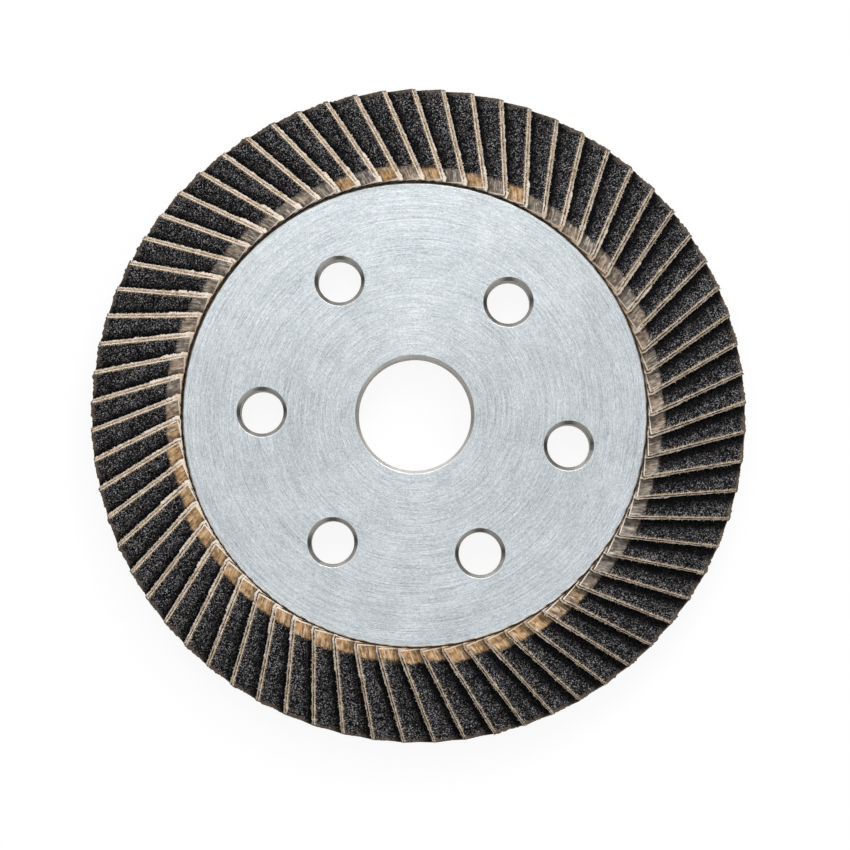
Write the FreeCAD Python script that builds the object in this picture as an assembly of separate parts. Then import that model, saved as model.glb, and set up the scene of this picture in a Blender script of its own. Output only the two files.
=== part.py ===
import FreeCAD, Part
import math
import os

# Abrasive flap disc with a solid metal hub, lying on its back face.
# Millimetres, +Z up towards the working side, origin on the bore axis at the back face.

# Driving dimensions, disc
tip_diameter = 129.0          # circle that the outer corners of the flaps reach
ring_width = 18.8             # from the edge of the hub's face out to the tip circle
flap_overhang = 5.5           # tip circle beyond the rim that carries the flaps

# Driving dimensions, hub plate
rim_thickness = 2.0
face_recess = 1.2             # face below the highest corners of the flaps
face_edge_break = 0.25
back_edge_break = 0.3

# Driving dimensions, arbor bore and vents
bore_diameter = 22.23         # 7/8 in arbor
bore_chamfer = 0.63
vent_diameter = 8.5
vent_chamfer = 0.72
# Each vent's angle from +X and distance from the axis: they were not drilled evenly.
vent_places = (
    (50.2, 28.8),
    (119.4, 30.2),
    (179.1, 30.1),
    (237.3, 29.9),
    (295.2, 30.2),
    (348.5, 30.9),
)

# Driving dimensions, flaps
flap_count = 69
group_count = 23              # a group is every flap this many places on
flap_depth = 1.95             # thickness of the cloth and grit, measured along the axis
flap_width = 12.0             # from the hidden edge to the lead edge
lead_edge_offset = 20.5       # distance from the axis to the line of a lead edge
cut_slant = 0.2               # lower side of the cut edge ahead of a square cut
inner_end_skew = 11.0         # degrees between a flap's inner end and the tangent
first_flap_angle = 86.68      # direction of the first flap's lead edge at mid length
ply_clearance = 0.13          # between one flap and the next, along the axis
# The flaps were not set quite evenly: they run ahead of an even pitch and fall behind it
# in waves. Each has its count round the disc, its height in degrees and where it peaks.
placing_waves = (
    (1, 0.69, 342.7),
    (2, 0.41, 108.4),
)

# Driving dimensions, adhesive bed
bed_under_flaps = 0.3         # adhesive between the rim and a flap's low edge
flap_sink = 0.6               # depth of a low edge in the adhesive
ring_clearance = 0.3          # between the hub's wall and the ring of flaps
bed_setback = 0.8             # from the rim's edge to the adhesive's edge

# Derived sizes
tip_radius = tip_diameter / 2
face_radius = tip_radius - ring_width
rim_radius = tip_radius - flap_overhang
flap_pitch = 360.0 / flap_count
rise_per_radian = (flap_depth + ply_clearance) / math.radians(flap_pitch)
inner_corner_radius = (face_radius + ring_clearance) / math.cos(math.radians(inner_end_skew))
hidden_edge_offset = lead_edge_offset - flap_width
low_edge_z = rim_thickness + bed_under_flaps
bed_top_z = low_edge_z + flap_sink


def along_edge(offset, radius):
    """Distance along a line that passes the axis at offset, out to the given radius."""
    return math.sqrt(radius**2 - offset**2)


def stack_rise(radius):
    """Climb of a flap from its hidden edge to its lead edge, at one radius.

    The neighbours lie on each other like the steps of a spiral, so the climb is the
    angle that the flap spans there, times the climb for each radian.
    """
    span = math.acos(hidden_edge_offset / radius) - math.acos(lead_edge_offset / radius)
    return rise_per_radian * span


def top_side_share(radius):
    """Share of the flap's width that its coated side takes, the rest being the cut edge."""
    slope = math.atan(stack_rise(radius) / flap_width)
    cut_width = flap_depth * math.sin(slope) * math.cos(slope) + cut_slant
    return 1 - cut_width / flap_width


def end_section(lead_along, hidden_along, radius):
    """Closed outline of a flap's end, across the flap from hidden edge to lead edge.

    In the flap's own frame the lead edge runs along +Y at X = lead_edge_offset.
    """
    climb = stack_rise(radius)
    top_share = top_side_share(radius)
    top_x = hidden_edge_offset + flap_width * top_share
    top_y = hidden_along + (lead_along - hidden_along) * top_share
    corners = [
        FreeCAD.Vector(hidden_edge_offset, hidden_along, low_edge_z),
        FreeCAD.Vector(lead_edge_offset, lead_along, low_edge_z + climb),
        FreeCAD.Vector(top_x, top_y, low_edge_z + climb * top_share + flap_depth),
        FreeCAD.Vector(hidden_edge_offset, hidden_along, low_edge_z + flap_depth),
    ]
    return Part.makePolygon(corners + corners[:1])


def make_flap():
    """One flap of coated cloth: a slightly twisted plate between its two ends."""
    inner_lead = along_edge(lead_edge_offset, inner_corner_radius)
    lean = math.degrees(math.asin(lead_edge_offset / inner_corner_radius))
    inner_slope = math.tan(math.radians(lean - inner_end_skew))
    inner_hidden = inner_lead + flap_width * inner_slope
    inner = end_section(inner_lead, inner_hidden, inner_corner_radius)
    outer_lead = along_edge(lead_edge_offset, tip_radius)
    outer_hidden = along_edge(hidden_edge_offset, tip_radius)
    outer = end_section(outer_lead, outer_hidden, tip_radius)
    return Part.makeLoft([inner, outer], True, True)


def placing_error(angle):
    """Degrees by which a flap set at this angle runs ahead of an even pitch."""
    error = 0.0
    for count, height, peak in placing_waves:
        error += height * math.cos(math.radians(count * (angle - peak)))
    return error


def make_flaps():
    """All flaps in order, counter-clockwise, each lying on the one before it."""
    mid_radius = (inner_corner_radius + tip_radius) / 2
    own_angle = math.degrees(math.acos(lead_edge_offset / mid_radius))
    flap = make_flap()
    axis = FreeCAD.Vector(0, 0, 1)
    flaps = []
    for index in range(flap_count):
        turned = flap.copy()
        place = first_flap_angle + index * flap_pitch
        turned.rotate(FreeCAD.Vector(0, 0, 0), axis, place + placing_error(place) - own_angle)
        flaps.append(turned)
    return flaps


def turned_solid(profile):
    """Solid of revolution about Z from a closed list of (radius, height) points."""
    points = [FreeCAD.Vector(radius, 0, height) for radius, height in profile]
    outline = Part.makePolygon(points + points[:1])
    face = Part.Face(outline)
    return face.revolve(FreeCAD.Vector(0, 0, 0), FreeCAD.Vector(0, 0, 1), 360)


def make_vent_cutter(height):
    """Drill with a countersink at the face and a broken edge at the back."""
    radius = vent_diameter / 2
    over = 1.0
    return turned_solid([
        (0, -over),
        (radius + back_edge_break + over, -over),
        (radius, back_edge_break),
        (radius, height - vent_chamfer),
        (radius + vent_chamfer + over, height + over),
        (0, height + over),
    ])


def make_hub(face_z):
    """Turned hub plate: thick face, thin rim, chamfered bore and six vents."""
    bore_radius = bore_diameter / 2
    hub = turned_solid([
        (bore_radius + back_edge_break, 0),
        (rim_radius - back_edge_break, 0),
        (rim_radius, back_edge_break),
        (rim_radius, rim_thickness),
        (face_radius, rim_thickness),
        (face_radius, face_z - face_edge_break),
        (face_radius - face_edge_break, face_z),
        (bore_radius + bore_chamfer, face_z),
        (bore_radius, face_z - bore_chamfer),
        (bore_radius, back_edge_break),
    ])
    cutter = make_vent_cutter(face_z)
    for angle, distance in vent_places:
        drill = cutter.copy()
        drill.translate(FreeCAD.Vector(distance, 0, 0))
        drill.rotate(FreeCAD.Vector(0, 0, 0), FreeCAD.Vector(0, 0, 1), angle)
        hub = hub.cut(drill)
    return hub


def make_bed(flaps):
    """Cured adhesive on the rim, with a groove for the low edge of every flap."""
    bed = turned_solid([
        (face_radius + ring_clearance, rim_thickness),
        (rim_radius - bed_setback, rim_thickness),
        (rim_radius - bed_setback, bed_top_z),
        (face_radius + ring_clearance, bed_top_z),
    ])
    return bed.cut(flaps)


def save(name, shape):
    """Write one named sub-part."""
    shape.exportStep("parts/" + name + ".step")
    print(name, "solids", len(shape.Solids), "volume", round(shape.Volume, 1), shape.isValid())


def main():
    """Build the disc and write each sub-part."""
    os.makedirs("parts", exist_ok=True)
    flaps = make_flaps()
    top_climb = stack_rise(inner_corner_radius) * top_side_share(inner_corner_radius)
    highest_flap = low_edge_z + top_climb + flap_depth
    save("hub_plate", make_hub(highest_flap - face_recess))
    save("adhesive_bed", make_bed(flaps))
    for group in range(group_count):
        save(f"flaps_{group + 1:02d}", Part.makeCompound(flaps[group::group_count]))


main()
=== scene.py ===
"""Looks of an abrasive flap disc, lying on its back and seen from above.

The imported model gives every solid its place. The hub plate and the adhesive keep their
solids and get finishes. Each flap is rebuilt between the corners of its own solid, with
grit, bare cloth at its inner end, two plies in its cut edge and frayed threads.
"""

import logging
import math
import random
from collections.abc import Mapping, Sequence
from dataclasses import dataclass, field
from enum import Enum

import bmesh
import bpy
from mathutils import Matrix, Vector, noise


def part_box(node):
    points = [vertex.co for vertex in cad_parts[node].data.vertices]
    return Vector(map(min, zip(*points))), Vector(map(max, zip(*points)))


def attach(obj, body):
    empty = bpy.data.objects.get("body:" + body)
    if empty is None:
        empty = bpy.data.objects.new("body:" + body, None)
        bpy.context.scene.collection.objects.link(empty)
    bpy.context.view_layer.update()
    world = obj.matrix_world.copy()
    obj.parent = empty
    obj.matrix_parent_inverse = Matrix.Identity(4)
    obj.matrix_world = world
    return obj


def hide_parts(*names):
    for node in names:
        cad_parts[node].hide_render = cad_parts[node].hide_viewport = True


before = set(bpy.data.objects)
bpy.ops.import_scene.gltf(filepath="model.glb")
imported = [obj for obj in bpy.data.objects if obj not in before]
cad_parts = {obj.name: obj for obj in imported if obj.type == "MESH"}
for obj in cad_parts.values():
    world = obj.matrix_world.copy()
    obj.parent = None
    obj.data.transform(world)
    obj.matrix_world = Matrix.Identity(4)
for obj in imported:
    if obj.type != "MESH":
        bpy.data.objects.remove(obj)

log = logging.getLogger("flap_disc")

MM = 0.001
FLAP_PREFIX = "flaps_"
# Distance from the axis where the grit starts. Nearer to the hub the cloth is bare.
GRIT_START = 48.8 * MM


def linear(hex_colour: str) -> tuple[float, float, float, float]:
    """Turn an sRGB hex colour into linear red, green, blue and alpha.

    Args:
        hex_colour: Six hex digits after a hash sign.

    Returns:
        The four linear channels, alpha being 1.
    """
    channels = []
    for start in (1, 3, 5):
        value = int(hex_colour[start:start + 2], 16) / 255
        channels.append(value / 12.92 if value <= 0.04045 else ((value + 0.055) / 1.055) ** 2.4)
    return channels[0], channels[1], channels[2], 1.0


def add_node(
    tree: bpy.types.NodeTree, kind: str, inputs: Mapping[str | int, object] | None = None
) -> bpy.types.Node:
    """Add one node with its settings and links.

    Args:
        tree: Node tree that takes the node.
        kind: Blender's type name of the node, without the ShaderNode in front.
        inputs: What goes to each property, named in small letters, or to each input, by
            name or number: a value, an output socket, or a node for its first output.

    Returns:
        The new node.
    """
    node = tree.nodes.new("ShaderNode" + kind)
    for key, value in (inputs or {}).items():
        if isinstance(value, bpy.types.Node):
            # A node shows only the outputs that its settings use.
            value = next(output for output in value.outputs if output.enabled)
        if isinstance(value, bpy.types.NodeSocket):
            tree.links.new(value, node.inputs[key])
        elif isinstance(key, str) and key.islower():
            setattr(node, key, value)
        else:
            node.inputs[key].default_value = value
    return node


def new_material(name: str) -> tuple[bpy.types.Material, bpy.types.NodeTree]:
    """Make an empty node material.

    Args:
        name: Name of the material.

    Returns:
        The material and its cleared node tree.
    """
    material = bpy.data.materials.new(name)
    material.use_nodes = True
    material.node_tree.nodes.clear()
    return material, material.node_tree


def own_spread(tree: bpy.types.NodeTree) -> bpy.types.Node:
    """Make the millimetres from a flap's lead edge and tip, with the flap's own number third.

    Args:
        tree: Node tree that takes the nodes.

    Returns:
        The vector, so that a pattern on it differs from flap to flap.
    """
    spread = add_node(tree, "UVMap", {"uv_map": "flap_mm"})
    serial = add_node(tree, "Attribute", {"attribute_name": "serial"})
    third = add_node(tree, "CombineXYZ", {"Z": serial.outputs["Fac"]})
    return add_node(tree, "VectorMath", {"operation": "ADD", 0: spread, 1: third})


class FlapFace(Enum):
    """Material slots of a flap, in their order on the mesh."""

    COATED = 0
    CUT_EDGE = 1
    THREAD = 2


@dataclass(frozen=True)
class TurnedAluminium:
    """Hub plate: aluminium faced on a lathe and brushed in rings.

    The tool leaves fine concentric lines, so highlights stretch across them and
    gather into brighter sectors towards the lamp and away from it. Walls and
    chamfers were only cut: they are smoother, and dull with grinding dust. A
    painted reflection lightens the lower side of each hole and of the outer edge,
    and painted glints lighten the dust in the vents at some sides.
    """

    light: str = "#dbe0e3"
    dark: str = "#80888c"
    cut_light: str = "#c4c1bc"
    cut_dark: str = "#807d78"
    # Painted reflection on the lower side of the cut walls and chamfers.
    cut_painted_reflection: str = "#dfddda"
    # The vents' countersinks are dark with grinding dust and painted shade, and painted glints lighten them
    # at some sides. They lie in a ring round the bore.
    vent_dust_and_shade: str = "#5d5b57"
    vent_painted_glint: str = "#bebcb8"
    # Painted highlights on the lower sides of the face's edges show as bright lines.
    edge_highlight: str = "#f6f8f8"
    # Caked dust hides most of the metal of the upright walls.
    wall_metal: float = 0.3
    vent_circle: float = 30.0 * MM
    vent_reach: float = 6.5 * MM
    # Between the holes and the outer edge the lower sides change direction.
    between: float = 42.0 * MM
    # The lines are some 0.1 mm apart on the real plate. They are drawn coarser to show.
    line_spacing: float = 0.17 * MM
    line_radius: float = 40.0 * MM
    # Length and share of the long and short lines, then size and share of specks and clouds.
    lines: tuple[tuple[float, float], ...] = ((12.0 * MM, 0.37), (1.1 * MM, 0.34))
    spots: tuple[tuple[float, float], ...] = ((0.24 * MM, 0.34), (6.0 * MM, 0.12))
    contrast: float = 0.2
    roughness: float = 0.4
    cut_roughness: float = 0.28
    anisotropy: float = 0.27
    bump_depth: float = 0.01 * MM
    edge_radius: float = 0.2 * MM

    def build(self) -> bpy.types.Material:
        """Make the material, its lines following the radius on Object coordinates.

        Returns:
            The material.
        """
        material, tree = new_material("turned_brushed_aluminium")
        spot = add_node(tree, "TexCoord")
        place = spot.outputs["Object"]
        flat = add_node(tree, "VectorMath", {"operation": "MULTIPLY", 0: place, 1: (1, 1, 0)})
        radius = add_node(tree, "VectorMath", {"operation": "LENGTH", 0: flat})
        shade = self._lines(tree, place, flat, radius)
        tone = add_node(tree, "MapRange", {
            "From Min": 0.5 - self.contrast, "From Max": 0.5 + self.contrast, "Value": shade,
        })
        face = add_node(tree, "Mix", {
            "data_type": "RGBA", 6: linear(self.dark), 7: linear(self.light), 0: tone,
        })
        bright = add_node(tree, "Mix", {
            "data_type": "RGBA", 6: linear(self.cut_dark), 7: linear(self.cut_light), 0: tone,
        })
        upward = add_node(tree, "SeparateXYZ", {0: spot.outputs["Normal"]})
        by_vents = add_node(tree, "Math", {
            "operation": "COMPARE", 1: self.vent_circle, 2: self.vent_reach, 0: radius,
        })
        slanted = add_node(tree, "Math", {"operation": "GREATER_THAN", 1: 0.3, 0: upward.outputs["Z"]})
        # Painted reflections and edge highlights lie on lower sides: that of a hole faces +Y, and that of
        # the outer edge -Y.
        inwards = add_node(tree, "MapRange", {
            "From Min": self.between - MM, "From Max": self.between + MM, "To Min": 1.0, "To Max": -1.0,
            "Value": radius,
        })
        facing = add_node(tree, "Math", {"operation": "MULTIPLY", 0: upward.outputs["Y"], 1: inwards})
        lower_side = add_node(tree, "MapRange", {"From Min": 0.1, "From Max": 0.4, "Value": facing})
        # In the vents a painted glint lightens the dust most at the lower right, and less on the other
        # diagonals.
        lower_right = add_node(tree, "VectorMath", {
            "operation": "DOT_PRODUCT", 1: (-0.5, 0.87, 0.0), 0: spot.outputs["Normal"],
        })
        glint_lower_right = add_node(tree, "MapRange", {
            "From Min": 0.3, "From Max": 0.6, "To Max": 0.75, "Value": lower_right,
        })
        crossed = add_node(tree, "Math", {
            "operation": "MULTIPLY", 0: upward.outputs["X"], 1: upward.outputs["Y"],
        })
        diagonal = add_node(tree, "Math", {"operation": "ABSOLUTE", 0: crossed})
        glint_diagonals = add_node(tree, "MapRange", {
            "From Min": 0.06, "From Max": 0.2, "To Max": 0.5, "Value": diagonal,
        })
        vent_glint = add_node(tree, "Math", {"operation": "ADD", 0: glint_lower_right, 1: glint_diagonals})
        vent_dust_and_glint = add_node(tree, "Mix", {
            "data_type": "RGBA", 6: linear(self.vent_dust_and_shade), 7: linear(self.vent_painted_glint), 0: vent_glint,
        })
        # Painted reflection lightens the lower side of the cut metal.
        cut_with_reflection = add_node(tree, "Mix", {
            "data_type": "RGBA", 7: linear(self.cut_painted_reflection), 0: lower_side, 6: bright,
        })
        sunk = add_node(tree, "Math", {"operation": "MULTIPLY", 0: by_vents, 1: slanted})
        cut = add_node(tree, "Mix", {"data_type": "RGBA", 0: sunk, 6: cut_with_reflection, 7: vent_dust_and_glint})
        is_face = add_node(tree, "MapRange", {
            "From Min": 0.9, "From Max": 0.97, "Value": upward.outputs["Z"],
        })
        edges = add_node(tree, "Bevel", {"samples": 6, "Radius": self.edge_radius})
        edge_parts = add_node(tree, "SeparateXYZ", {0: edges})
        # Painted edge highlight where a rounded edge of the face turns to its lower side.
        edge_facing = add_node(tree, "Math", {
            "operation": "MULTIPLY", 0: edge_parts.outputs["Y"], 1: inwards,
        })
        edge_highlight_share = add_node(tree, "MapRange", {
            "From Min": 0.05, "From Max": 0.25, "To Max": 0.85, "Value": edge_facing,
        })
        face_with_edge_highlight = add_node(tree, "Mix", {"data_type": "RGBA", 7: linear(self.edge_highlight), 0: edge_highlight_share, 6: face})
        colour = add_node(tree, "Mix", {"data_type": "RGBA", 0: is_face, 6: cut, 7: face_with_edge_highlight})
        roughness = add_node(tree, "MapRange", {
            "To Min": self.cut_roughness, "To Max": self.roughness, "Value": is_face,
        })
        metallic = add_node(tree, "MapRange", {
            "From Min": 0.1, "From Max": 0.5, "To Min": self.wall_metal, "Value": upward.outputs["Z"],
        })
        bump = add_node(tree, "Bump", {
            "Strength": 0.6, "Distance": self.bump_depth, "Height": shade, "Normal": edges,
        })
        tangent = add_node(tree, "Tangent", {"direction_type": "RADIAL", "axis": "Z"})
        # A quarter turn lays the highlight across the lines, as on a real turned face.
        metal = add_node(tree, "BsdfPrincipled", {
            "Specular IOR Level": 0.0, "Anisotropic": self.anisotropy, "Anisotropic Rotation": 0.25,
            "Base Color": colour, "Metallic": metallic, "Roughness": roughness, "Normal": bump,
            "Tangent": tangent,
        })
        add_node(tree, "OutputMaterial", {"Surface": metal})
        return material

    def _lines(
        self,
        tree: bpy.types.NodeTree,
        place: bpy.types.NodeSocket,
        flat: bpy.types.Node,
        radius: bpy.types.Node,
    ) -> bpy.types.Node:
        """Long and short concentric lines, specks and faint clouds.

        Args:
            tree: Node tree of the material.
            place: Object coordinates.
            flat: The same without their height.
            radius: Distance from the axis.

        Returns:
            Their mix, about 0.5 on average.
        """
        facing = add_node(tree, "VectorMath", {"operation": "NORMALIZE", 0: flat})
        across = add_node(tree, "Math", {"operation": "MULTIPLY", 0: radius, 1: 1 / self.line_spacing})
        # The direction gives a seamless place along a ring, and the radius picks the ring.
        ring = add_node(tree, "CombineXYZ", {"Z": across})
        patterns = []
        for length, share in self.lines:
            along = add_node(tree, "VectorMath", {
                "operation": "SCALE", 0: facing, "Scale": self.line_radius / length,
            })
            spot = add_node(tree, "VectorMath", {"operation": "ADD", 0: ring, 1: along})
            patterns.append((share, {"Scale": 1.0, "Detail": 2.0, "Vector": spot}))
        for size, share in self.spots:
            patterns.append((share, {"Scale": 1 / size, "Detail": 1.0, "Vector": place}))
        mix = 0.5
        for share, settings in patterns:
            pattern = add_node(tree, "TexNoise", {"Roughness": 0.6, **settings})
            centred = add_node(tree, "Math", {"operation": "SUBTRACT", 0: pattern, 1: 0.5})
            mix = add_node(tree, "Math", {"operation": "MULTIPLY_ADD", 0: centred, 1: share, 2: mix})
        return mix


@dataclass(frozen=True)
class CuredAdhesive:
    """Adhesive bed: cured phenolic resin, brown, hard and half glossy."""

    colour: str = "#5c4024"
    dark: str = "#33220f"
    patch: float = 1.6 * MM

    def build(self) -> bpy.types.Material:
        """Make the material, clouded where the resin is thicker.

        Returns:
            The material.
        """
        material, tree = new_material("cured_phenolic_resin")
        place = add_node(tree, "TexCoord").outputs["Object"]
        clouds = add_node(tree, "TexNoise", {"Scale": 1 / self.patch, "Detail": 4.0, "Vector": place})
        colour = add_node(tree, "Mix", {
            "data_type": "RGBA", 6: linear(self.dark), 7: linear(self.colour), 0: clouds,
        })
        bump = add_node(tree, "Bump", {"Strength": 0.5, "Distance": 0.1 * MM, "Height": clouds})
        resin = add_node(tree, "BsdfPrincipled", {
            "Roughness": 0.4, "IOR": 1.6, "Base Color": colour, "Normal": bump,
        })
        add_node(tree, "OutputMaterial", {"Surface": resin})
        return material


@dataclass(frozen=True)
class CoatedCloth:
    """Coated side of a flap: dark grain in resin on polyester cotton cloth.

    The grain is sharp, so single facets flash grey among black ones, as painted glints in
    its colour. Painted shade darkens the grain next to the flap on top of it. The inner
    end was left bare: the cloth shows there, grey or stained amber by resin.
    """

    grain: float = 0.17 * MM
    grain_black: str = "#0b0b0d"
    glint_cool: str = "#a7adb9"
    glint_warm: str = "#aea398"
    # Painted glints: few facets lie so that they flash, so the shade of a grain is its chance to this
    # power.
    glint_rarity: float = 6.0
    grain_gloss: float = 0.02
    cloth_grey: str = "#8d857e"
    cloth_amber: str = "#daab73"
    cloth_pale: str = "#e4dac9"
    cloth_dark: str = "#4d4034"
    # Painted shade: next to the flap on top of it the grain is darkened nearly to black.
    painted_shade_start: float = 0.9
    painted_shade_end: float = 2.35
    painted_shade_level: float = 0.08
    # The bare cloth is only in the shade of the next flap.
    bare_shade: float = 0.45
    lead_fringe: str = "#c4ae90"
    # Cut yarns stand over the grit beside the lead edge, drawn coarser than they are.
    tick_width: float = 0.2
    tick_length: float = 1.4
    tip_fringe: str = "#6c5f53"
    # Threads lie 0.25 mm apart on the real cloth. They are drawn coarser so that they show.
    thread_spacing: float = 0.32 * MM
    thread_length: float = 2.2 * MM
    stain_size: float = 1.1 * MM
    # The grit starts raggedly, and a little nearer to the hub on some flaps than on others.
    rag_size: float = 0.55 * MM
    rag_reach: float = 1.4 * MM
    own_reach: float = 0.9 * MM
    first_grain: float = 0.95 * MM
    full_grain: float = 1.4 * MM
    # Grains clump, and the painted shade beside the next flap ends in patches.
    clump_size: float = 1.8 * MM
    patch_size: float = 1.3 * MM

    def build(self) -> bpy.types.Material:
        """Make the material. UV holds the millimetres from the lead edge and the tip.

        Returns:
            The material.
        """
        material, tree = new_material("coated_abrasive_cloth")
        place = add_node(tree, "TexCoord").outputs["Object"]
        spread = own_spread(tree)
        resin = add_node(tree, "Attribute", {"attribute_name": "resin"}).outputs["Fac"]
        grit, height = self._grain(tree, place)
        bare, weave = self._bare_cloth(tree, place, spread, resin)
        rag = add_node(tree, "TexNoise", {
            "Scale": 1 / self.rag_size, "Detail": 3.0, "Roughness": 0.6, "Vector": place,
        })
        flat = add_node(tree, "VectorMath", {"operation": "MULTIPLY", 1: (1, 1, 0), 0: place})
        radius = add_node(tree, "VectorMath", {"operation": "LENGTH", 0: flat})
        ragged = add_node(tree, "Math", {"operation": "MULTIPLY_ADD", 1: self.rag_reach, 0: rag, 2: radius})
        serial = add_node(tree, "Attribute", {"attribute_name": "serial"}).outputs["Fac"]
        own_start = add_node(tree, "TexWhiteNoise", {"noise_dimensions": "1D", "W": serial})
        reached = add_node(tree, "Math", {
            "operation": "MULTIPLY_ADD", 1: self.own_reach, 0: own_start, 2: ragged,
        })
        coated = add_node(tree, "MapRange", {
            "From Min": GRIT_START + self.first_grain, "From Max": GRIT_START + self.full_grain,
            "Value": reached,
        })
        parts = add_node(tree, "SeparateXYZ", {0: spread})
        stretched = add_node(tree, "Mapping", {
            "Scale": (1 / self.tick_length, 1 / self.tick_width, 1), "Vector": spread,
        })
        ticks = add_node(tree, "TexNoise", {"Scale": 1.0, "Detail": 1.0, "Vector": stretched})
        lead_rag = add_node(tree, "Math", {
            "operation": "MULTIPLY_ADD", 1: -1.7, 0: ticks, 2: parts.outputs["X"],
        })
        inside = add_node(tree, "MapRange", {"From Min": -0.88, "From Max": -0.68, "Value": lead_rag})
        tip_rag = add_node(tree, "Math", {
            "operation": "MULTIPLY_ADD", 1: -2.4, 0: rag, 2: parts.outputs["Y"],
        })
        short = add_node(tree, "MapRange", {"From Min": -1.1, "From Max": -0.4, "Value": tip_rag})
        led = add_node(tree, "Mix", {"data_type": "RGBA", 6: linear(self.lead_fringe), 0: inside, 7: grit})
        over = add_node(tree, "Mix", {"data_type": "RGBA", 6: linear(self.tip_fringe), 0: short, 7: led})
        both = add_node(tree, "Mix", {"data_type": "RGBA", 0: coated, 6: bare, 7: over})
        # Painted shade near the flap on top: nearly black on the grain, lighter on the bare cloth.
        painted_shade_distance = add_node(tree, "Attribute", {"attribute_name": "painted_shade_distance"}).outputs["Fac"]
        patches = add_node(tree, "TexNoise", {"Scale": 1 / self.patch_size, "Detail": 2.0, "Vector": place})
        strayed = add_node(tree, "Math", {"operation": "MULTIPLY_ADD", 1: 1.2, 0: patches, 2: painted_shade_distance})
        # Painted shade on the grain.
        worn = add_node(tree, "MapRange", {
            "From Min": self.painted_shade_start, "From Max": self.painted_shade_end, "To Min": self.painted_shade_level,
            "Value": strayed,
        })
        in_shade = add_node(tree, "MapRange", {
            "From Min": 0.5, "From Max": 1.3, "To Min": self.bare_shade, "Value": strayed,
        })
        painted_shade_factor = add_node(tree, "Mix", {"data_type": "FLOAT", 0: coated, 2: in_shade, 3: worn})
        colour = add_node(tree, "Mix", {"data_type": "RGBA", 6: linear(self.grain_black), 0: painted_shade_factor, 7: both})
        relief = add_node(tree, "Mix", {"data_type": "FLOAT", 0: coated, 2: weave, 3: height})
        bump = add_node(tree, "Bump", {"Strength": 0.8, "Distance": 0.08 * MM, "Height": relief})
        surface = add_node(tree, "BsdfPrincipled", {
            "Roughness": 0.5, "IOR": 1.5, "Specular IOR Level": self.grain_gloss, "Base Color": colour,
            "Normal": bump,
        })
        add_node(tree, "OutputMaterial", {"Surface": surface})
        return material

    def _grain(
        self, tree: bpy.types.NodeTree, place: bpy.types.NodeSocket
    ) -> tuple[bpy.types.Node, bpy.types.Node]:
        """Grains of random shade, the lightest of them painted glints.

        Args:
            tree: Node tree of the material.
            place: Object coordinates.

        Returns:
            The colour and the height of the grain.
        """
        cells = add_node(tree, "TexVoronoi", {"Scale": 1 / self.grain, "Randomness": 1.0, "Vector": place})
        chance = add_node(tree, "SeparateXYZ", {0: cells.outputs["Color"]})
        painted_glint = add_node(tree, "Math", {"operation": "POWER", 1: self.glint_rarity, 0: chance})
        clouds = add_node(tree, "TexNoise", {"Scale": 1 / self.clump_size, "Detail": 2.0, "Vector": place})
        density = add_node(tree, "MapRange", {
            "From Min": 0.3, "From Max": 0.7, "To Min": 0.5, "To Max": 1.4, "Value": clouds,
        })
        lit = add_node(tree, "Math", {"operation": "MULTIPLY", 0: painted_glint, 1: density})
        facet = add_node(tree, "Mix", {
            "data_type": "RGBA", 6: linear(self.glint_cool), 7: linear(self.glint_warm),
            0: chance.outputs[1],
        })
        colour = add_node(tree, "Mix", {"data_type": "RGBA", 6: linear(self.grain_black), 0: lit, 7: facet})
        return colour, cells

    def _bare_cloth(
        self,
        tree: bpy.types.NodeTree,
        place: bpy.types.NodeSocket,
        spread: bpy.types.Node,
        resin: bpy.types.NodeSocket,
    ) -> tuple[bpy.types.Node, bpy.types.Node]:
        """Worn twill cloth with resin soaked into it.

        Args:
            tree: Node tree of the material.
            place: Object coordinates.
            spread: Millimetres from the lead edge and the tip.
            resin: Share of amber resin in the flap.

        Returns:
            The colour and the height of the cloth.
        """
        turned = add_node(tree, "Mapping", {
            "Rotation": (0, 0, math.radians(5)),
            "Scale": (MM / self.thread_spacing, MM / self.thread_length, 1), "Vector": spread,
        })
        threads = add_node(tree, "TexNoise", {
            "Scale": 1.0, "Detail": 3.0, "Roughness": 0.65, "Distortion": 0.6, "Vector": turned,
        })
        stain = add_node(tree, "TexNoise", {
            "Scale": 1 / self.stain_size, "Detail": 4.0, "Roughness": 0.6, "Vector": place,
        })
        soaked = add_node(tree, "Math", {
            "operation": "MULTIPLY_ADD", 1: 0.9, "use_clamp": True, 0: stain, 2: resin,
        })
        amount = add_node(tree, "MapRange", {"From Min": 0.5, "From Max": 1.1, "Value": soaked})
        tone = add_node(tree, "Mix", {
            "data_type": "RGBA", 6: linear(self.cloth_grey), 7: linear(self.cloth_amber), 0: amount,
        })
        worn = add_node(tree, "MapRange", {
            "From Min": 0.52, "From Max": 0.68, "To Max": 0.85, "Value": threads,
        })
        pale = add_node(tree, "Mix", {"data_type": "RGBA", 7: linear(self.cloth_pale), 0: worn, 6: tone})
        both = add_node(tree, "Math", {"operation": "MULTIPLY_ADD", 1: 0.9, 0: threads, 2: stain})
        shade = add_node(tree, "MapRange", {
            "From Min": 0.78, "From Max": 1.04, "To Min": 0.25, "Value": both,
        })
        colour = add_node(tree, "Mix", {"data_type": "RGBA", 6: linear(self.cloth_dark), 0: shade, 7: pale})
        return colour, threads


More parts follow.
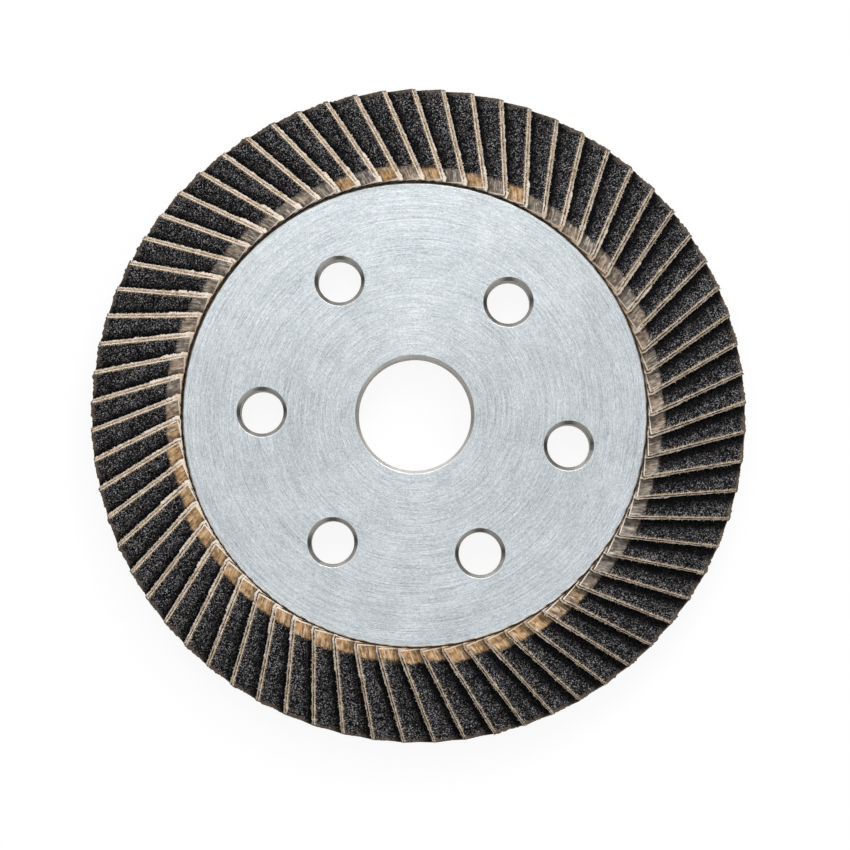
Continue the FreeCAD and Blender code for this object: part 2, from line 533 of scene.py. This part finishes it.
@dataclass(frozen=True)
class CutCloth:
    """Cut edge of a flap: two plies of woven cloth with brown resin between them.

    The blade leaves pale cut yarns in each ply, and the resin line stays sunk.
    """

    yarn: str = "#9f8260"
    yarn_pale: str = "#f8eada"
    resin_line: str = "#4a3620"
    # Tips are ground round and grimy, and resin has run over the inner ends.
    tip_grime: str = "#594b40"
    run_resin: str = "#bd9662"
    run_share: float = 0.4
    flap_length: float = 19.05
    yarn_step: float = 0.3 * MM
    resin_level: float = 0.58
    # The resin shows in dashes of one to three millimetres, where the plies have not closed.
    dash: float = 1.7
    foot: str = "#3a2c1f"

    def build(self) -> bpy.types.Material:
        """Make the material. The attribute ply is 0 at the low side and 1 at the grit.

        Returns:
            The material.
        """
        material, tree = new_material("cut_cloth_plies")
        place = add_node(tree, "TexCoord").outputs["Object"]
        spread = own_spread(tree)
        along = add_node(tree, "SeparateXYZ", {0: spread}).outputs["Y"]
        level = add_node(tree, "Attribute", {"attribute_name": "ply"}).outputs["Fac"]
        fray = add_node(tree, "Attribute", {"attribute_name": "fray"}).outputs["Fac"]
        yarns = add_node(tree, "TexNoise", {
            "Scale": 1 / self.yarn_step, "Detail": 3.0, "Roughness": 0.7, "Vector": place,
        })
        middle = add_node(tree, "Math", {"operation": "SUBTRACT", 1: self.resin_level, 0: level})
        away = add_node(tree, "Math", {"operation": "ABSOLUTE", 0: middle})
        dashes = add_node(tree, "TexNoise", {"Scale": 1 / self.dash, "Detail": 1.0, "Vector": spread})
        half = add_node(tree, "MapRange", {
            "From Min": 0.34, "From Max": 0.55, "To Min": 0.02, "To Max": 0.13, "Value": dashes,
        })
        # The resin line is drawn wider at the lower right and narrower at the upper left.
        lower_right = add_node(tree, "VectorMath", {
            "operation": "DOT_PRODUCT", 1: (0.7, -0.7, 0.0), 0: place,
        })
        lower_right_widening = add_node(tree, "MapRange", {
            "From Min": -0.05, "From Max": 0.05, "To Min": -0.05, "To Max": 0.07, "Value": lower_right,
        })
        widened_half = add_node(tree, "Math", {"operation": "ADD", 0: half, 1: lower_right_widening})
        beyond = add_node(tree, "Math", {"operation": "SUBTRACT", 0: away, 1: widened_half})
        wavy = add_node(tree, "Math", {"operation": "MULTIPLY_ADD", 1: 0.2, 0: yarns, 2: beyond})
        on_ply = add_node(tree, "MapRange", {"From Min": 0.08, "From Max": 0.14, "Value": wavy})
        low = add_node(tree, "MapRange", {"From Min": 0.5, "From Max": 0.0, "Value": level})
        lifted = add_node(tree, "Math", {"operation": "MULTIPLY_ADD", 1: 0.35, 0: low, 2: yarns})
        frayed = add_node(tree, "Math", {"operation": "MULTIPLY_ADD", 1: 0.4, 0: fray, 2: lifted})
        crest = add_node(tree, "MapRange", {
            "From Min": 0.7, "From Max": 0.9, "To Max": 0.28, "Value": level,
        })
        crested = add_node(tree, "Math", {"operation": "ADD", 0: frayed, 1: crest})
        # The yarns fray most at the inner end.
        toe = add_node(tree, "MapRange", {
            "From Min": self.flap_length - 2.4, "From Max": self.flap_length - 0.7, "To Max": 0.2,
            "Value": along,
        })
        toed = add_node(tree, "Math", {"operation": "ADD", 0: crested, 1: toe})
        pale = add_node(tree, "MapRange", {"From Min": 0.46, "From Max": 0.74, "Value": toed})
        yarn = add_node(tree, "Mix", {
            "data_type": "RGBA", 6: linear(self.yarn), 7: linear(self.yarn_pale), 0: pale,
        })
        plies = add_node(tree, "Mix", {"data_type": "RGBA", 6: linear(self.resin_line), 0: on_ply, 7: yarn})
        # The back of the cloth is dark with resin and painted shade, and its border is uneven.
        uneven = add_node(tree, "Math", {"operation": "MULTIPLY_ADD", 1: 0.35, 0: yarns, 2: level})
        above_foot = add_node(tree, "MapRange", {"From Min": 0.2, "From Max": 0.33, "Value": uneven})
        colour = add_node(tree, "Mix", {"data_type": "RGBA", 6: linear(self.foot), 0: above_foot, 7: plies})
        off_tip = add_node(tree, "MapRange", {
            "From Min": 0.05, "From Max": 0.4, "Value": along,
        })
        tipped = add_node(tree, "Mix", {
            "data_type": "RGBA", 6: linear(self.tip_grime), 0: off_tip, 7: colour,
        })
        at_hub = add_node(tree, "MapRange", {
            "From Min": self.flap_length - 0.3, "From Max": self.flap_length, "To Max": self.run_share,
            "Value": along,
        })
        finished = add_node(tree, "Mix", {
            "data_type": "RGBA", 7: linear(self.run_resin), 0: at_hub, 6: tipped,
        })
        bump = add_node(tree, "Bump", {"Strength": 0.6, "Distance": 0.06 * MM, "Height": yarns})
        cloth = add_node(tree, "BsdfPrincipled", {
            "Roughness": 0.8, "IOR": 1.5, "Sheen Weight": 0.15, "Base Color": finished, "Normal": bump,
        })
        add_node(tree, "OutputMaterial", {"Surface": cloth})
        return material


@dataclass(frozen=True)
class LooseThread:
    """Frayed thread ends: undyed polyester cotton, matt and pale."""

    colour: str = "#f3e9d6"
    shade: str = "#bda17c"
    tone_length: float = 1.1 * MM

    def build(self) -> bpy.types.Material:
        """Make the material, some threads browner than others.

        Returns:
            The material.
        """
        material, tree = new_material("frayed_thread")
        place = add_node(tree, "TexCoord").outputs["Object"]
        tone = add_node(tree, "TexNoise", {"Scale": 1 / self.tone_length, "Detail": 1.0, "Vector": place})
        shade = add_node(tree, "MapRange", {"From Min": 0.35, "From Max": 0.6, "Value": tone})
        colour = add_node(tree, "Mix", {
            "data_type": "RGBA", 6: linear(self.shade), 7: linear(self.colour), 0: shade,
        })
        thread = add_node(tree, "BsdfPrincipled", {"Roughness": 0.85, "IOR": 1.5, "Base Color": colour})
        add_node(tree, "OutputMaterial", {"Surface": thread})
        return material


@dataclass
class FlapCorners:
    """The eight corners of one flap's solid: hidden or lead side, inner end or tip."""

    low: list[list[Vector]]
    top: list[list[Vector]]

    @classmethod
    def read(cls, points: Sequence[Vector]) -> "FlapCorners":
        """Find the corners among the points of one solid.

        Args:
            points: All points of the solid.

        Returns:
            The corners, by side and then by end.
        """
        near = 0.002 * MM
        floor = min(point.z for point in points)
        hidden = sorted((p for p in points if p.z < floor + near), key=lambda p: p.xy.length)
        inner, outer = hidden[0], hidden[-1]
        along = (outer.xy - inner.xy).normalized()
        across = Vector((along.y, -along.x))
        reach = max(point.xy.dot(across) for point in points)
        edge = sorted((p for p in points if p.xy.dot(across) > reach - near), key=lambda p: p.xy.length)
        low = [[inner, outer], [edge[0], edge[-1]]]
        top = [[], []]
        for end in (0, 1):
            start, stop = low[0][end], low[1][end]
            line = (stop.xy - start.xy).normalized()
            on_end = [p for p in points if abs(line.cross(p.xy - start.xy)) < near]
            above = [p for p in on_end if (p.xy - start.xy).length < near]
            top[0].append(max(above, key=lambda p: p.z))
            top[1].append(max(on_end, key=lambda p: p.z))
        return cls(low, top)

    def place(self, across: float, along: float, height: float) -> Vector:
        """Point in the flap.

        Args:
            across: 0 at the hidden edge and 1 at the lead edge.
            along: 0 at the inner end and 1 at the tip.
            height: 0 at the back and 1 at the coated side.

        Returns:
            The point in metres.
        """
        sides = []
        for corners in (self.low, self.top):
            inner = corners[0][0].lerp(corners[1][0], across)
            outer = corners[0][1].lerp(corners[1][1], across)
            sides.append(inner.lerp(outer, along))
        return sides[0].lerp(sides[1], height)

    def regrind(self, off_centre: Vector) -> None:
        """Move the tip to a circle that was ground about another centre.

        Args:
            off_centre: That centre, from the axis.
        """
        for ends in (*self.low, *self.top):
            along = (ends[1] - ends[0]).normalized()
            outward = ends[1].xy.normalized()
            ends[1] += along * (outward.dot(off_centre) / outward.dot(along.xy))

    @property
    def width(self) -> float:
        """Width from the hidden edge to the lead edge."""
        return (self.top[1][1].xy - self.top[0][1].xy).length

    @property
    def length(self) -> float:
        """Length of the lead edge."""
        return (self.top[1][1].xy - self.top[1][0].xy).length

    @property
    def direction(self) -> float:
        """Angle of the flap round the disc, in radians."""
        middle = (self.low[1][0] + self.low[1][1]) / 2
        return math.atan2(middle.y, middle.x)


@dataclass
class Flap:
    """One flap, with its grit, its cut edge and its frayed threads."""

    corners: FlapCorners
    above: FlapCorners
    seed: int
    hub_radius: float
    grain_step: float = 0.23 * MM
    shown_width: float = 5.7 * MM
    grit_relief: float = 0.13 * MM
    edge_raggedness: float = 0.06 * MM
    tip_raggedness: float = 0.18 * MM
    tip_wear: float = 0.3 * MM
    low_ply_waves: float = 0.28 * MM
    top_ply_waves: float = 0.16 * MM
    groove_depth: float = 0.22 * MM
    tip_drop: float = 0.2 * MM
    toe_reach: float = 1.7 * MM
    sail_drop: float = 0.4 * MM
    inner_splay: float = 0.9 * MM
    wall_clearance: float = 0.1 * MM
    # The ring of flaps sits a little off centre, so the gap round the hub is wider above left.
    wide_gap: float = 0.4 * MM
    wide_gap_angle: float = 122.0
    # The low plies are pressed out most at the left, and hardly at the lower right.
    pressed_angle: float = 150.0
    # The cut is steepest at the lower right, where the cut edges look narrowest.
    steep_cut: float = 0.42 * MM
    steep_angle: float = -45.0
    # The painted shade reaches furthest from the overlying flap at the right, as a painted shadow.
    painted_shadow_reach: float = 0.6
    painted_shadow_angle: float = -15.0
    # Above, every other flap is cut from amber cloth.
    amber_angle: float = 86.8
    amber_step: float = 10.43
    amber_reach: float = 22.0
    thread_count: int = 120
    ply_levels: tuple[tuple[float, float], ...] = (
        (0.90, 0.0),
        (0.71, 0.0),
        (0.65, 1.0),
        (0.51, 1.0),
        (0.45, 0.0),
        (0.08, 0.0),
        (0.0, 0.3),
    )
    draw: random.Random = field(init=False)
    toe_push: float = field(init=False)
    sail_end: float = field(init=False)
    sail_height: float = field(init=False)
    flares: list[tuple[float, float, float]] = field(init=False)

    def __post_init__(self) -> None:
        """Draw where the low ply of this flap is pushed out."""
        self.draw = random.Random(self.seed)
        self.toe_push = self.draw.uniform(0.05, 0.34) * MM
        self.sail_end = self.draw.uniform(3.5, 7.5) * MM
        self.sail_height = self.draw.uniform(0.2, 0.42) * MM if self.draw.random() < 0.65 else 0.0
        self.flares = []
        for _ in range(self.draw.randint(2, 5)):
            self.flares.append((
                self.draw.uniform(0.05, 1.0),
                self.draw.uniform(0.012, 0.035),
                self.draw.uniform(0.08, 0.22) * MM,
            ))

    def resin_share(self) -> float:
        """Amber share of the bare cloth: most below, and on every other flap above.

        Returns:
            The share, from 0 to 1.
        """
        angle = math.degrees(self.corners.direction)
        share = 0.05 + 0.9 * min(1.0, max(0.0, 2.2 * (self.towards(245.0) - 0.3)))
        from_amber = (angle - self.amber_angle) / self.amber_step
        if abs(angle - self.amber_angle) < self.amber_reach and abs(from_amber - round(from_amber)) < 0.25:
            share = 0.85
        return min(1.0, share + self.draw.uniform(-0.12, 0.12))

    def towards(self, degrees: float) -> float:
        """Make 1 for a flap in this direction from the axis, and -1 for one opposite."""
        return math.cos(self.corners.direction - math.radians(degrees))

    def cut_back(self, height: float) -> float:
        """How far the cut edge lies behind the CAD's at this height, where the cut is steep."""
        return self.steep_cut * (0.5 + 0.5 * self.towards(self.steep_angle)) ** 2 * (1 - height)

    def tip_end(self, across: float) -> float:
        """Where the tip ends along the flap, about 1, at a place across it."""
        worn = noise.noise(Vector((across * self.corners.width / (0.8 * MM), self.seed, 20.0)))
        return 1.0 + self.tip_wear * worn / self.corners.length

    def flare(self, along: float) -> float:
        """How far the low ply is pushed out.

        Args:
            along: 0 at the inner end and 1 at the tip.

        Returns:
            The distance, outwards.
        """
        distance = along * self.corners.length
        push = self.toe_push * max(0.0, 1 - distance / self.toe_reach) ** 0.7
        swell = min(1.0, distance / self.sail_end) ** 0.8
        drop = max(0.0, 1 - max(0.0, distance - self.sail_end) / self.sail_drop)
        teeth = 0.8 + 0.9 * noise.noise(Vector((distance / (0.35 * MM), self.seed, 3.0)))
        push = max(push, self.sail_height * swell * drop) * teeth
        for middle, half, height in self.flares:
            away = abs(along - middle) / half
            if away < 1:
                ragged = 0.7 + 0.6 * noise.noise(Vector((distance / (0.3 * MM), self.seed, 0.0)))
                push = max(push, height * ragged * (1 - away**2))
        return push * (0.8 + 0.2 * self.towards(self.pressed_angle))

    def wave(self, along: float, size: float, ply: float) -> float:
        """How far a ply's cut edge strays to either side of its line.

        Args:
            along: 0 at the inner end and 1 at the tip.
            size: Largest distance that it strays.
            ply: A number that tells the plies apart.

        Returns:
            The distance, outwards if positive.
        """
        distance = along * self.corners.length
        slow = noise.noise(Vector((distance / (1.3 * MM), self.seed, ply)))
        fast = noise.noise(Vector((distance / (0.42 * MM), self.seed, ply + 5.0)))
        return size * (0.6 * slow + 0.6 * fast)

    def painted_shade_distance(self, point: Vector) -> float:
        """How far a point lies beyond the painted shadow beside the flap on top of this one.

        Args:
            point: A point of this flap.

        Returns:
            The distance in millimetres.
        """
        inner, outer = self.above.low[1]
        line = (outer.xy - inner.xy).normalized()
        reach = self.painted_shadow_reach * max(0.0, self.towards(self.painted_shadow_angle))
        return line.cross(inner.xy - point.xy) / MM - reach

    def build(self, shape: bmesh.types.BMesh) -> None:
        """Add this flap to the mesh of its piece.

        Args:
            shape: Mesh under construction, with the layers made by FlapGroup.
        """
        layers = shape.verts.layers.float
        across_layer, along_layer = layers["across"], layers["along"]
        columns = 1 + round(self.shown_width / self.grain_step)
        rows = round(self.corners.length / self.grain_step)
        made = bmesh.ops.create_grid(shape, x_segments=columns, y_segments=rows, size=0.5)
        hidden_share = 1 - self.shown_width / self.corners.width
        for vert in made["verts"]:
            column = round((vert.co.x + 0.5) * columns)
            shown = (column - 1) / (columns - 1)
            vert[across_layer] = 0.0 if column == 0 else hidden_share + (1 - hidden_share) * shown
            vert[along_layer] = vert.co.y + 0.5
            vert[layers["ply"]] = 1.0
            vert.co = self._coated_point(vert[across_layer], vert[along_layer])
        verts = set(made["verts"])
        faces = [face for face in shape.faces if face.verts[0] in verts]
        for face in faces:
            face.material_index = FlapFace.COATED.value
            face.smooth = False
        verts.update(self._build_edges(shape, faces))
        resin = self.resin_share()
        for vert in verts:
            vert[layers["resin"]] = resin
            vert[layers["painted_shade_distance"]] = self.painted_shade_distance(vert.co)
            vert[layers["serial"]] = float(self.seed % 1000)
        self._build_threads(shape)

    def _coated_point(self, across: float, along: float) -> Vector:
        """Point of the coated side, with the relief of its grain.

        Args:
            across: 0 at the hidden edge and 1 at the lead edge.
            along: 0 at the inner end and 1 at the tip.

        Returns:
            The point in metres.
        """
        at_border = across in (0.0, 1.0) or along in (0.0, 1.0)
        if 0 < across < 1 and 0 < along < 1:
            across += self.draw.uniform(-0.3, 0.3) * self.grain_step / self.corners.width
            along += self.draw.uniform(-0.3, 0.3) * self.grain_step / self.corners.length
        if along == 1.0:
            along = self.tip_end(across)
        point = self.corners.place(across, along, 1.0)
        sag = noise.noise(point / (3.5 * MM)) * 0.05 * MM
        point.z += sag - 0.04 * MM
        tip_distance = (1 - along) * self.corners.length
        point.z -= self.tip_drop * max(0.0, 1 - tip_distance / (0.5 * MM)) ** 2
        if point.xy.length > GRIT_START and not at_border:
            point.z += self.draw.uniform(-1.0, 0.4) * self.grit_relief
        elif not at_border:
            point.z -= 0.35 * self.grit_relief
        return point

    def _build_edges(
        self, shape: bmesh.types.BMesh, faces: list[bmesh.types.BMFace]
    ) -> list[bmesh.types.BMVert]:
        """Run the two plies and the resin line round the flap, and close its back.

        Args:
            shape: Mesh under construction.
            faces: Faces of the coated side.

        Returns:
            All the points that were added.
        """
        layers = shape.verts.layers.float
        added = []
        rim = [edge for face in faces for edge in face.edges if edge.is_boundary]
        for height, sink in self.ply_levels:
            geometry = bmesh.ops.extrude_edge_only(shape, edges=rim)["geom"]
            verts = [part for part in geometry if isinstance(part, bmesh.types.BMVert)]
            rim = [part for part in geometry if isinstance(part, bmesh.types.BMEdge)]
            for vert in verts:
                vert[layers["ply"]] = height
                self._place_edge(vert, layers, height, sink)
            for part in geometry:
                if isinstance(part, bmesh.types.BMFace):
                    part.material_index = FlapFace.CUT_EDGE.value
                    part.smooth = False
            added.extend(verts)
        closed = bmesh.ops.edgeloop_fill(shape, edges=rim)
        for face in closed["faces"]:
            face.material_index = FlapFace.CUT_EDGE.value
        return added

    def _place_edge(
        self, vert: bmesh.types.BMVert, layers: bmesh.types.BMLayerAccessVert, height: float, sink: float
    ) -> None:
        """Put one point of the cut edge in its place.

        Args:
            vert: The point, which knows where it is across and along the flap.
            layers: Float layers of the mesh.
            height: 0 at the back and 1 at the coated side.
            sink: Share of the groove's depth by which the point lies further in.
        """
        across, along = vert[layers["across"]], vert[layers["along"]]
        ragged = self.tip_raggedness if along == 1.0 else self.edge_raggedness
        out = self.draw.uniform(-1.0, 1.0) * ragged - sink * self.groove_depth
        push = 0.0
        if across == 1.0 and height < 0.4:
            flared = self.flare(along)
            pressed = 0.6 + 0.4 * self.towards(self.pressed_angle)
            wave = abs(self.wave(along, self.low_ply_waves, 0.0)) * pressed
            push = flared * (0.6 if height > 0.2 else 1.0) + wave
            vert[layers["fray"]] = min(1.0, flared / (0.2 * MM))
        elif along == 0.0:
            vert[layers["fray"]] = self.draw.uniform(0.0, 0.9)
        elif across == 1.0 and height > 0.6:
            push = self.wave(along, self.top_ply_waves, 9.0)
        if across == 1.0:
            push -= self.cut_back(height)
        at_inner_end = along == 0.0
        if along == 1.0:
            along = self.tip_end(across) + out / self.corners.length
        elif at_inner_end:
            along -= out / self.corners.length
        if across in (0.0, 1.0):
            across += (out + push) / self.corners.width * (1 if across == 1.0 else -1)
        vert.co = self.corners.place(across, along, height)
        if at_inner_end:
            self._splay(vert, height)
        vert.co.z += self.draw.uniform(-0.4, 0.4) * self.edge_raggedness

    def _splay(self, vert: bmesh.types.BMVert, height: float) -> None:
        """Move a point of the inner end towards the hub, the low ply most.

        Args:
            vert: The point, already in its place.
            height: 0 at the back and 1 at the coated side.
        """
        radius = vert.co.xy.length
        near = self.hub_radius + self.wall_clearance
        near += self.wide_gap * max(0.0, self.towards(self.wide_gap_angle))
        ragged = 0.5 + noise.noise(Vector((vert.co.x / (0.8 * MM), vert.co.y / (0.8 * MM), self.seed)))
        near += 0.25 * MM * max(0.0, ragged)
        shift = min(self.inner_splay * (1 - height), radius - near)
        if shift > 0:
            vert.co.xy *= (radius - shift) / radius

    def _build_threads(self, shape: bmesh.types.BMesh) -> None:
        """Stick frayed thread ends out of the plies, in tufts.

        Args:
            shape: Mesh under construction.
        """
        corners = self.corners
        outward = (corners.place(1, 0.5, 0.0) - corners.place(0.9, 0.5, 0.0)).normalized()
        lengthwise = (corners.place(1, 1, 0.0) - corners.place(1, 0, 0.0)).normalized()
        tuft = self.draw.random()
        for _ in range(self.thread_count):
            if self.draw.random() < 0.3:
                tuft = self.draw.random()
            along = min(0.995, max(0.005, tuft + self.draw.gauss(0, 0.012)))
            height = self.draw.choice((0.15, 0.25, 0.35, 0.4, 0.78, 0.95, 0.95, 0.95, 0.95))
            root = corners.place(1 - self.cut_back(height) / corners.width, along, height)
            length = self.draw.uniform(0.25, 0.65) * MM
            lean = outward * self.draw.uniform(0.5, 1.0)
            lean += lengthwise * self.draw.uniform(-0.9, 0.9)
            lean.z += self.draw.uniform(0.0, 0.5)
            if height > 0.9:
                length *= 0.75
                lean = -outward + lengthwise * self.draw.uniform(-0.5, 0.5)
                lean.z += 0.5
            direction = lean.normalized()
            turn = direction.to_track_quat("Z", "Y").to_matrix().to_4x4()
            start = root - direction * 0.08 * MM
            cone = bmesh.ops.create_cone(
                shape, cap_ends=True, segments=3, depth=length,
                radius1=self.draw.uniform(0.05, 0.1) * MM, radius2=0.02 * MM,
                matrix=Matrix.Translation(start + direction * length / 2) @ turn,
            )
            for vert in cone["verts"]:
                for face in vert.link_faces:
                    face.material_index = FlapFace.THREAD.value


@dataclass
class FlapGroup:
    """The flaps of one node, as one piece."""

    node: str
    flaps: list[Flap]
    materials: Sequence[bpy.types.Material]

    def build(self) -> bpy.types.Object:
        """Build the piece and put it in its node's place.

        Returns:
            The piece.
        """
        shape = bmesh.new()
        for name in ("across", "along", "ply", "fray", "resin", "painted_shade_distance", "serial"):
            shape.verts.layers.float.new(name)
        for flap in self.flaps:
            flap.build(shape)
        bmesh.ops.recalc_face_normals(shape, faces=shape.faces)
        self._lay_out(shape)
        mesh = bpy.data.meshes.new(f"dressed_{self.node}")
        shape.to_mesh(mesh)
        shape.free()
        piece = bpy.data.objects.new(f"dressed_{self.node}", mesh)
        bpy.context.scene.collection.objects.link(piece)
        for material in self.materials:
            mesh.materials.append(material)
        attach(piece, "root")
        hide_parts(self.node)
        return piece

    def _lay_out(self, shape: bmesh.types.BMesh) -> None:
        """Give each corner of each face its distance from the lead edge and the tip.

        Args:
            shape: Finished mesh of the piece.
        """
        layers = shape.verts.layers.float
        spread = shape.loops.layers.uv.new("flap_mm")
        width = self.flaps[0].corners.width / MM
        length = self.flaps[0].corners.length / MM
        for face in shape.faces:
            for loop in face.loops:
                across = loop.vert[layers["across"]]
                along = loop.vert[layers["along"]]
                loop[spread].uv = ((1 - across) * width, (1 - along) * length)


@dataclass
class FlapRing:
    """All the flaps of the disc."""

    seed: int = 41
    # The tips were ground true on an arbor with play, so their circle is a little off centre.
    off_centre: tuple[float, float] = (0.7 * MM, -0.1 * MM)
    groups: dict[str, list[FlapCorners]] = field(default_factory=dict)

    def read(self) -> None:
        """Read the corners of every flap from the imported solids."""
        for name in sorted(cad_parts):
            if name.startswith(FLAP_PREFIX):
                self.groups[name] = self._solids(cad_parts[name])

    @staticmethod
    def _solids(node: bpy.types.Object) -> list[FlapCorners]:
        """Split a node's mesh into its solids and find the corners of each.

        Args:
            node: A CAD node that holds several flaps.

        Returns:
            The corners of its flaps.
        """
        copy = bmesh.new()
        copy.from_mesh(node.data)
        bmesh.ops.remove_doubles(copy, verts=copy.verts, dist=0.0005 * MM)
        left = set(copy.verts)
        found = []
        while left:
            solid, fresh = set(), [left.pop()]
            while fresh:
                vert = fresh.pop()
                solid.add(vert)
                for edge in vert.link_edges:
                    other = edge.other_vert(vert)
                    if other in left:
                        left.remove(other)
                        fresh.append(other)
            found.append(FlapCorners.read([vert.co.copy() for vert in solid]))
        copy.free()
        return sorted(found, key=lambda corners: corners.direction)

    @staticmethod
    def hub_radius() -> float:
        """Find the radius of the hub's wall, inside the ring of flaps.

        Returns:
            The radius in metres.
        """
        upper_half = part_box("hub_plate")[1].z / 2
        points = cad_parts["hub_plate"].data.vertices
        return max(point.co.xy.length for point in points if point.co.z > upper_half)

    def build(self, materials: Sequence[bpy.types.Material]) -> list[bpy.types.Object]:
        """Build every group of flaps.

        Args:
            materials: Materials in the order of FlapFace.

        Returns:
            The pieces.
        """
        in_order = sorted(sum(self.groups.values(), []), key=lambda corners: corners.direction)
        for corners in in_order:
            corners.regrind(Vector(self.off_centre))
        wall = self.hub_radius()
        pieces = []
        for node, group in self.groups.items():
            flaps = []
            for corners in group:
                order = in_order.index(corners)
                above = in_order[(order + 1) % len(in_order)]
                flaps.append(Flap(corners, above, self.seed * 1000 + order, wall))
            pieces.append(FlapGroup(node, flaps, materials).build())
            log.info("built %s with %d flaps", node, len(flaps))
        return pieces


@dataclass(frozen=True)
class Lamp:
    """Soft lamp that faces the disc, its angles in degrees and its size in metres."""

    name: str
    azimuth: float
    elevation: float
    size: tuple[float, float]
    power: float
    distance: float = 0.6

    def hang(self) -> None:
        """Hang the lamp. Its azimuth is seen from above, from the right of the picture."""
        data = bpy.data.lights.new(self.name, "AREA")
        data.energy = self.power
        data.shape = "RECTANGLE"
        data.size, data.size_y = self.size
        lamp = bpy.data.objects.new(self.name, data)
        bpy.context.scene.collection.objects.link(lamp)
        azimuth, elevation = math.radians(self.azimuth), math.radians(self.elevation)
        away = Vector((
            math.cos(azimuth) * math.cos(elevation),
            math.sin(azimuth) * math.cos(elevation),
            math.sin(elevation),
        ))
        lamp.location = away * self.distance
        lamp.rotation_euler = away.to_track_quat("Z", "Y").to_euler()


@dataclass
class Studio:
    """Floor, lamps, world and camera."""

    camera_distance: float = 0.9
    camera_tilt: float = math.radians(2.25)
    aim: tuple[float, float] = (2.0 * MM, -2.1 * MM)
    view_width: float = 167.1 * MM
    floor_size: float = 3.0
    floor_share: float = 0.12
    world_strength: float = 0.58
    lamps: tuple[Lamp, ...] = (
        Lamp("key", 103, 60, (0.32, 0.32), 0.7),
        Lamp("side", 67, 41, (0.2, 0.2), 1.0),
        Lamp("card", 97, 11, (0.75, 0.14), 0.4),
        Lamp("fill", -50, 22, (0.6, 0.25), 0.42),
    )

    def build(self) -> None:
        """Set up everything round the disc."""
        scene = bpy.context.scene
        scene.view_settings.view_transform = "Standard"
        self._floor()
        self._world(scene)
        for lamp in self.lamps:
            lamp.hang()
        self._camera(scene)

    @staticmethod
    def _seen(tree: bpy.types.NodeTree) -> bpy.types.Node:
        """Make 1 for rays from the camera, mirrors and glass, and 0 for the others.

        Args:
            tree: Node tree that takes the nodes.

        Returns:
            The node with that number.
        """
        path = add_node(tree, "LightPath")
        either = add_node(tree, "Math", {
            "operation": "MAXIMUM", 0: path.outputs["Is Camera Ray"], 1: path.outputs["Is Glossy Ray"],
        })
        return add_node(tree, "Math", {
            "operation": "MAXIMUM", 0: either, 1: path.outputs["Is Transmission Ray"],
        })

    def _floor(self) -> None:
        """Lay a white floor that keeps the disc's shadow."""
        shape = bmesh.new()
        bmesh.ops.create_grid(shape, x_segments=1, y_segments=1, size=self.floor_size / 2)
        mesh = bpy.data.meshes.new("floor")
        shape.to_mesh(mesh)
        shape.free()
        floor = bpy.data.objects.new("floor", mesh)
        bpy.context.scene.collection.objects.link(floor)
        floor.location.z = -0.05 * MM
        material, tree = new_material("white_floor")
        share = self.floor_share
        paint = add_node(tree, "BsdfDiffuse", {"Color": (share, share, share, 1)})
        glow = add_node(tree, "Emission", {"Strength": 1 - share * 0.85})
        none = add_node(tree, "Emission", {"Strength": 0.0})
        pick = add_node(tree, "MixShader", {0: self._seen(tree), 1: none, 2: glow})
        both = add_node(tree, "AddShader", {0: paint, 1: pick})
        add_node(tree, "OutputMaterial", {"Surface": both})
        mesh.materials.append(material)

    def _world(self, scene: bpy.types.Scene) -> None:
        """Light the disc softly from all round, with white behind it.

        Args:
            scene: Scene that takes the world.
        """
        world = bpy.data.worlds.new("soft_white")
        world.use_nodes = True
        tree = world.node_tree
        tree.nodes.clear()
        level = add_node(tree, "MapRange", {
            "To Min": self.world_strength, "To Max": 1.0, "Value": self._seen(tree),
        })
        light = add_node(tree, "Background", {"Color": (1, 1, 1, 1), "Strength": level})
        add_node(tree, "OutputWorld", {"Surface": light})
        scene.world = world

    def _camera(self, scene: bpy.types.Scene) -> None:
        """Look straight down from slightly below the middle of the picture.

        Args:
            scene: Scene that takes the camera.
        """
        data = bpy.data.cameras.new("camera")
        data.sensor_width = 36.0
        data.lens = data.sensor_width * self.camera_distance / self.view_width
        camera = bpy.data.objects.new("camera", data)
        scene.collection.objects.link(camera)
        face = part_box("hub_plate")[1].z
        back = Vector((0, -math.sin(self.camera_tilt), math.cos(self.camera_tilt)))
        camera.location = Vector((self.aim[0], self.aim[1], face)) + back * self.camera_distance
        camera.rotation_euler = (self.camera_tilt, 0, 0)
        scene.camera = camera


def dress(node: str, material: bpy.types.Material) -> None:
    """Give a CAD node its finish.

    Args:
        node: Name of the node.
        material: Finish for all of it.
    """
    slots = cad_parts[node].data.materials
    slots.clear()
    slots.append(material)
    log.info("dressed %s", node)


def main() -> None:
    """Build the disc's looks in order."""
    logging.basicConfig(level=logging.INFO, format="%(name)s: %(message)s")
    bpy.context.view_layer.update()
    dress("hub_plate", TurnedAluminium().build())
    dress("adhesive_bed", CuredAdhesive().build())
    ring = FlapRing()
    ring.read()
    ring.build([CoatedCloth().build(), CutCloth().build(), LooseThread().build()])
    Studio().build()


if __name__ == "__main__":
    main()
